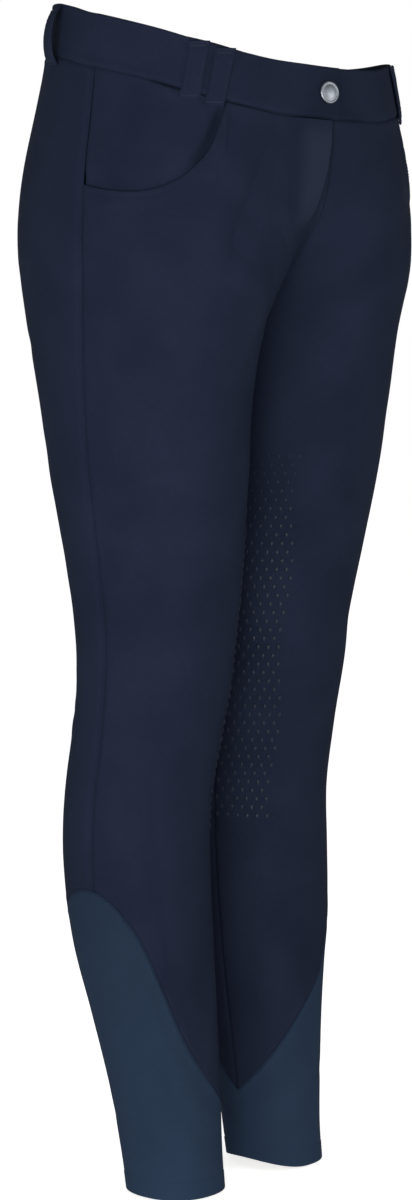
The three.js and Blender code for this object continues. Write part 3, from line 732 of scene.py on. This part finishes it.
for word, side in sides:
    for name, topTurn, footTurn, seat, bow in loopRows:
        top, foot = bandTop(topTurn, side) - 2.0, bandSeam(footTurn, side) - loop["tail"]
        middle = ringAt(np.array(loop["level"]))["middleTurn"]
        beside = [clothPoint(side, (topTurn + k) / middle, loop["level"], 0) for k in (1, -1)]
        halfTurn = loop["width"] / np.linalg.norm(beside[0] - beside[1])

        def placed(t, c):
            z = top + (foot - top) * t
            narrowed = 1 - loop["waisted"] * np.sin(math.pi * np.clip(t, 0, 1))
            turn = topTurn + (footTurn - topTurn) * t + c * halfTurn * narrowed
            return turn / ringAt(z)["middleTurn"], z

        t = steps(top - foot, 1.5)[:, None] / (top - foot)
        c = (steps(16, 1.0) / 8 - 1)[None, :]
        t, c = np.broadcast_arrays(t, c)
        s, z = placed(t, c)
        eEdge = np.minimum((1 - np.abs(c)) * 8, np.minimum(t, 1 - t) * (top - foot))
        stand = loopStand(t, seat, bow)
        outer = stand + loop["wall"] - 0.5 + 0.9 * (1 - c ** 2)
        outer = outer - 0.16 * bump((np.abs(c) - loop["stitch"]) * loop["width"] / 2, 0.8)
        outer = outer + 0.12 * puckers(t * 60 + 9 * side, 5.0)
        outer = outer - 0.5 * (bump(t * (top - foot) - 4, 2.0) + bump((1 - t) * (top - foot) - 3, 2.0))
        clothPiece(name + "_" + word, side, s, z, outer, stand, roundness(eEdge, 0.9), held="folded")
        lines = []
        for edge in (-loop["stitch"], loop["stitch"]):
            line = np.linspace(0.1, 0.9, 60)
            ls, lz = placed(line, edge + 0 * line)
            lines.append((side, ls, lz, loopStand(line, seat, bow) + loop["wall"] - 0.12))
        stitchLine("stitches_" + name + "_" + word, lines)
        # Bar tacks: close upright stitches across the loop, at its foot and just under its top.
        centres, aheads, ups = [], [], []
        for at in (4.0 / (top - foot), 1 - 3.0 / (top - foot)):
            across = np.linspace(-0.7, 0.7, 15)
            ls, lz = placed(at + 0 * across, across)
            level = loopStand(at, seat, bow) + loop["wall"] - 0.15  # sunk a little into the cloth
            base = clothPoint(side, ls, lz, level)
            centres.append(base)
            slant = 0.12 * (np.roll(base, 1, 0) - base)[:1]
            aheads.append(clothPoint(side, ls, lz + 1, level) - base + slant)
            ups.append(clothPoint(side, ls, lz, level + 1) - base)
        scatter("tacks_" + name + "_" + word, beadShape(2.6, 0.75, 0.7), np.concatenate(centres),
                np.concatenate(aheads), np.concatenate(ups), thread)
print("belt loops made")

# Fly lap: lifted at its free edge, sinking into the front at its other side and its foot
fly = {"width": 48.0, "edge": 4.4, "bulge": 1.0, "wall": 2.2, "sink": 0.33, "footSink": 0.5}
z = np.linspace(flyShape["z"][0], flyShape["z"][-1], 52)
t = (1 - steps(fly["width"], 1.3, True, False)[::-1] / fly["width"])[None, :]
edge, fade = readTable(flyShape, "z", z, "edge"), readTable(flyShape, "z", z, "fade")
x = fade[:, None] + (edge - fade)[:, None] * t
z = np.repeat(z[:, None], x.shape[1], 1)
s = np.zeros_like(z)
for row in range(len(z)):
    grid = np.linspace(0.3, 1, 1400)
    own = np.interp(-np.abs(x[row]), -np.abs(faceAt(-1, grid, z[row, 0])[:, 0]), grid)
    s[row] = np.where(x[row] <= 0, own, 2 - own)
footing = smooth((z - flyShape["z"][-1]) / 22)
lift = (0.15 + fly["edge"] * t ** 1.35) * footing
outer = lift + fly["bulge"] * np.sin(math.pi * t) * footing
outer = outer - fly["sink"] * (1 - smooth(t / 0.35)) - fly["footSink"] * (1 - footing)
outer = outer + 0.15 * softWaves(x, z, 44)
middleTurn = ringAt(z)["middleTurn"]
trough = creaseDepth(-1, s * middleTurn, z, halfLength(z, False) / middleTurn)
inner = np.maximum(np.minimum(0.15, outer - 0.9), outer - fly["wall"])
edgeRound = roundness((1 - t) * fly["width"] + 0.03, 1.2) + 0 * z
lap = clothPiece("fly_lap", -1, s, z, outer - trough, inner - trough, edgeRound)
# Painted light: the lap is coloured paler toward its free edge, where it bulges toward the lamps, fading out
# at its soft side, its foot and its top.
painted_lap_light = smooth((t - 0.15) / 0.45) * smooth((z - flyShape["z"][-1]) / 30) * smooth((-74 - z) / 22)
rub_and_painted_light = lap.data.attributes.new("painted_lap_light", "FLOAT", "POINT")
rub_and_painted_light.data.foreach_set("value", np.tile(painted_lap_light.ravel(), 2).astype(np.float32))
print("fly lap made")

# Knit lower legs.
cuff = {"length": 150.0, "leftHemRise": 7.0}
for word, side in sides:
    station = np.linspace(-1, 1, 99)[:-1]
    seam = cuffSeam(side, station)
    slope = slopeOf(seam, station, cuff["length"])
    fine = np.array([0, 0.2, 0.5, 0.9, 1.4, 2.1, 3.1, 4.4, 6, 8])
    upper = seam[None] - fine[:, None] * slope[None]
    lowEnd = cut["hem"] + np.array([16, 15.2, 14.5, 14, 13.4, 12.5, 10, 7, 4.5, 2.6, 1.5, 0.8, 0.4, 0.15, 0])
    riseAt = cuff["leftHemRise"] * smooth((np.abs(station) - 0.5) / 0.5) if side > 0 else 0 * station
    ends = lowEnd[:, None] + riseAt[None]  # the left hem is drawn up a little at the inner leg
    t = np.linspace(0, 1, 62)[1:-1, None]
    between = upper[-1:] + (ends[:1] - upper[-1:]) * t
    z = np.concatenate([upper, between, ends])
    s = np.repeat(station[None, :], len(z), 0)
    around = halfLength(z, False)
    a = s * around
    eSeam, eHem = (seam[None] - z) / slope[None], z - cut["hem"] - riseAt[None]
    outer = seamRelief(eSeam) - 0.1 + panel["puckerCuff"] * seamPuckers(a, panel["cuffPitch"], eSeam, 6)
    outer = outer - creaseDepth(side, s * 180, z, around / 180) * smooth(eHem / 20)
    outer = outer + 0.3 * softWaves(a, z, 61 + side)
    outer = outer + 0.3 * (1 - smooth((eHem - 13.4) / 1.2)) - 0.3 * bump(eHem - 14.2, 0.7)  # turned-up hem
    inner = outer * 0 - cut["knit"]
    clothPiece("cuff_" + word, side, s, z, outer, inner, roundness(eHem, 0.75), knit, wraps=True)
print("knit lower legs made")

# Top-stitching on the pockets and the knit seams
for word, side in sides:
    line = np.linspace(0.5, 53.5, 260)
    station = line / ringAt(np.array(-60.0))["middleTurn"]
    edgeZ = readTable(pocketEdge, "turn", line, "z")
    slope = slopeOf(edgeZ, station, panel["length"])
    lines = [(side, station, edgeZ - 3.6 * slope, panel["pocketRise"] + 0.9 * bump(line - 46, 6) - 0.12)]
    stitchLine("stitches_pocket_" + word, lines)
    station = np.linspace(-0.995, 0.995, 700)
    seamZ = cuffSeam(side, station)
    slope = slopeOf(seamZ, station, cuff["length"])
    lines = [(side, station, seamZ + 2.4 * slope, -0.1 + 0 * station)]
    stitchLine("stitches_knit_seam_" + word, lines, 2.7, 2.0)
print("stitching made")

# Silicone print inside the knees: small plain lozenges in staggered rows
grip = {"top": -338.0, "bottom": -636.0, "front": 128.0, "back": -146.0, "pitch": 9.0, "row": 7.0,
        "length": 4.8, "width": 3.0, "height": 0.55, "fade": 90.0}
for word, side in sides:
    rowsZ = np.arange(grip["top"], grip["bottom"], -grip["row"])
    places, heights = [], []
    for k, zRow in enumerate(rowsZ):
        per = 360 / (halfLength(zRow, False) * 2)
        first = grip["front"] + 5 * (1 - k / len(rowsZ)) + 3 * math.sin(k * 0.35)
        turns = np.arange(first, 360 + grip["back"], grip["pitch"] * per) + (k % 2) * grip["pitch"] * per / 2
        places.append(turns)
        heights.append(np.full(len(turns), zRow))
    turns, heights = np.concatenate(places), np.concatenate(heights)
    station = np.where(turns > 180, turns - 360, turns) / 180
    keep = np.abs(np.abs(station) - 1) > 0.012
    station, heights = station[keep], heights[keep]
    base = clothPoint(side, station, heights, 0.05)
    normal = clothPoint(side, station, heights, 1.05) - base
    upright = clothPoint(side, station, heights + 1, 0.05) - base
    shape = lozengeShape(grip["length"], grip["width"], grip["height"])
    small = 0.5 + 0.5 * smooth((grip["top"] - heights) / grip["fade"])  # smaller toward the top
    scatter("grip_print_" + word, shape, base, upright, normal, silicone, small)
print("grip print made")

# Button: a domed cap with a raised rim and a plain middle, swung a little about the upright
button = {"aside": -8.5, "turned": 15.0, "shank": 0.7}
# Radius and height of its section, from the foot of the shank to the middle of the face.
profile = np.array([
    [0, -2.6], [3.8, -2.6], [3.8, 1.3], [7.4, 1.3], [8.2, 1.6], [8.5, 2.1], [8.5, 2.6], [8.3, 3.1],
    [7.9, 3.45], [7.4, 3.6], [7.0, 3.5], [6.7, 3.25], [6.3, 3.2], [5.9, 3.3], [5.3, 3.55],
    [4.4, 3.8], [3.2, 4.0], [1.8, 4.15], [0.8, 4.2], [0, 4.2]])
height = bandTop(95, -1) - cut["bandHeight"] / 2
station = stationBeside(-1, button["aside"], height)
seat = clothPoint(-1, station, height, band["proud"] + band["lapStep"] + 0.35 + button["shank"])
axis = clothPoint(-1, station, height, 3.0) - clothPoint(-1, station, height, 2.0)
turned = math.radians(button["turned"])
axis = np.array([axis[0] * math.cos(turned) + axis[1] * math.sin(turned),
                 axis[1] * math.cos(turned) - axis[0] * math.sin(turned), axis[2]])
axis /= np.linalg.norm(axis)
sideways = np.cross([0, 0, 1.0], axis)
sideways /= np.linalg.norm(sideways)
upward = np.cross(axis, sideways)
sidesRound = 72
angle = np.linspace(0, 2 * math.pi, sidesRound, endpoint=False)
rings = profile[1:-1]
points = [seat]
for r, h in rings:
    points += [seat + r * (math.cos(q) * sideways + math.sin(q) * upward) + h * axis for q in angle]
points.append(seat + profile[-1, 1] * axis)
makeObject("trouser_button", np.array(points), turnedFaces(len(rings), sidesRound), metal,
           "waist_button")
print("button made")

for piece, width, length, area, held in sheets:
    print("sheet", piece.name, round(width, 4), round(length, 4), round(area, 5))

# Floor, light and camera.
stage = {"floor": -0.9245, "size": 14.0}
floorMesh = bpy.data.meshes.new("floor")
e = stage["size"]
corners = [(x, y, stage["floor"]) for x, y in ((-e, -e), (e, -e), (e, e), (-e, e))]
floorMesh.from_pydata(corners, [], [(0, 1, 2, 3)])
floor = bpy.data.objects.new("floor", floorMesh)
bpy.context.scene.collection.objects.link(floor)
# White studio paper, overexposed: it glows at 0.7 for the camera, and at 0.1 for the garment and the rest.
paper = newMaterial("white_paper")
seen = addNode(paper, "LightPath")
glow = addNode(paper, "Math", {"operation": "MULTIPLY_ADD", 1: 0.6, 2: 0.1}, {0: (seen, "Is Camera Ray")})
finishMaterial(paper, addNode(paper, "BsdfPrincipled", {
    "Base Color": (0.95, 0.95, 0.95, 1), "Roughness": 0.9, "Specular IOR Level": 0.1,
    "Emission Color": (1, 1, 1, 1)}, {"Emission Strength": (glow, 0)}))
floorMesh.materials.append(paper)

# White walls all round under a darker ceiling, so that most of the light comes from the sides and the floor.
# The camera sees them plain white.
world = bpy.data.worlds.new("studio")
world.use_nodes = True
world.node_tree.nodes.clear()
place = addNode(world, "TexCoord")
height = addNode(world, "SeparateXYZ", links={0: (place, "Generated")})
wall = addNode(world, "MapRange", {"From Min": 0.12, "From Max": 0.55, "To Min": 0.83, "To Max": 0.28},
               {"Value": (height, 2)})
seen = addNode(world, "LightPath")
shown = addNode(world, "Math", {"operation": "MAXIMUM"}, {0: (wall, "Result"), 1: (seen, "Is Camera Ray")})
sky = addNode(world, "Background", {"Color": (1, 1, 1, 1)}, {"Strength": (shown, 0)})
addNode(world, "OutputWorld", links={"Surface": (sky, "Background")})
bpy.context.scene.world = world
bpy.context.scene.view_settings.view_transform = "Standard"


def softLight(name, place, target, size, power, tint):
    light = bpy.data.lights.new(name, "AREA")
    light.shape, light.size, light.energy, light.color = "DISK", size, power, tint
    lamp = bpy.data.objects.new(name, light)
    lamp.location = place
    lamp.rotation_euler = (Vector(target) - Vector(place)).to_track_quat("-Z", "Y").to_euler()
    bpy.context.scene.collection.objects.link(lamp)


softLight("left box", (-2.4, 0.2, -0.75), (0, 0, -0.7), 1.2, 22, (1, 0.98, 0.95))
softLight("right box", (1.0, -2.4, -0.2), (0, 0, -0.4), 1.2, 17, (1, 0.95, 0.88))
softLight("low front box", (-1.9, -1.5, -0.75), (0, 0, -0.8), 1.4, 80, (1, 0.94, 0.88))

view = {"azimuth": 48.0, "distance": 2.33, "height": -0.263, "pitch": 4.7, "lens": 87.0, "aside": -0.0114}
angle, pitch = math.radians(view["azimuth"]), math.radians(view["pitch"])
camera = bpy.data.cameras.new("camera")
camera.lens, camera.sensor_width, camera.shift_x = view["lens"], 36.0, view["aside"]
camera.dof.use_dof = False
viewer = bpy.data.objects.new("camera", camera)
viewer.location = (-math.sin(angle) * view["distance"], -math.cos(angle) * view["distance"], view["height"])
ahead = Vector((math.sin(angle) * math.cos(pitch), math.cos(angle) * math.cos(pitch), -math.sin(pitch)))
viewer.rotation_euler = ahead.to_track_quat("-Z", "Y").to_euler()
bpy.context.scene.collection.objects.link(viewer)
bpy.context.scene.camera = viewer
print("stage made")
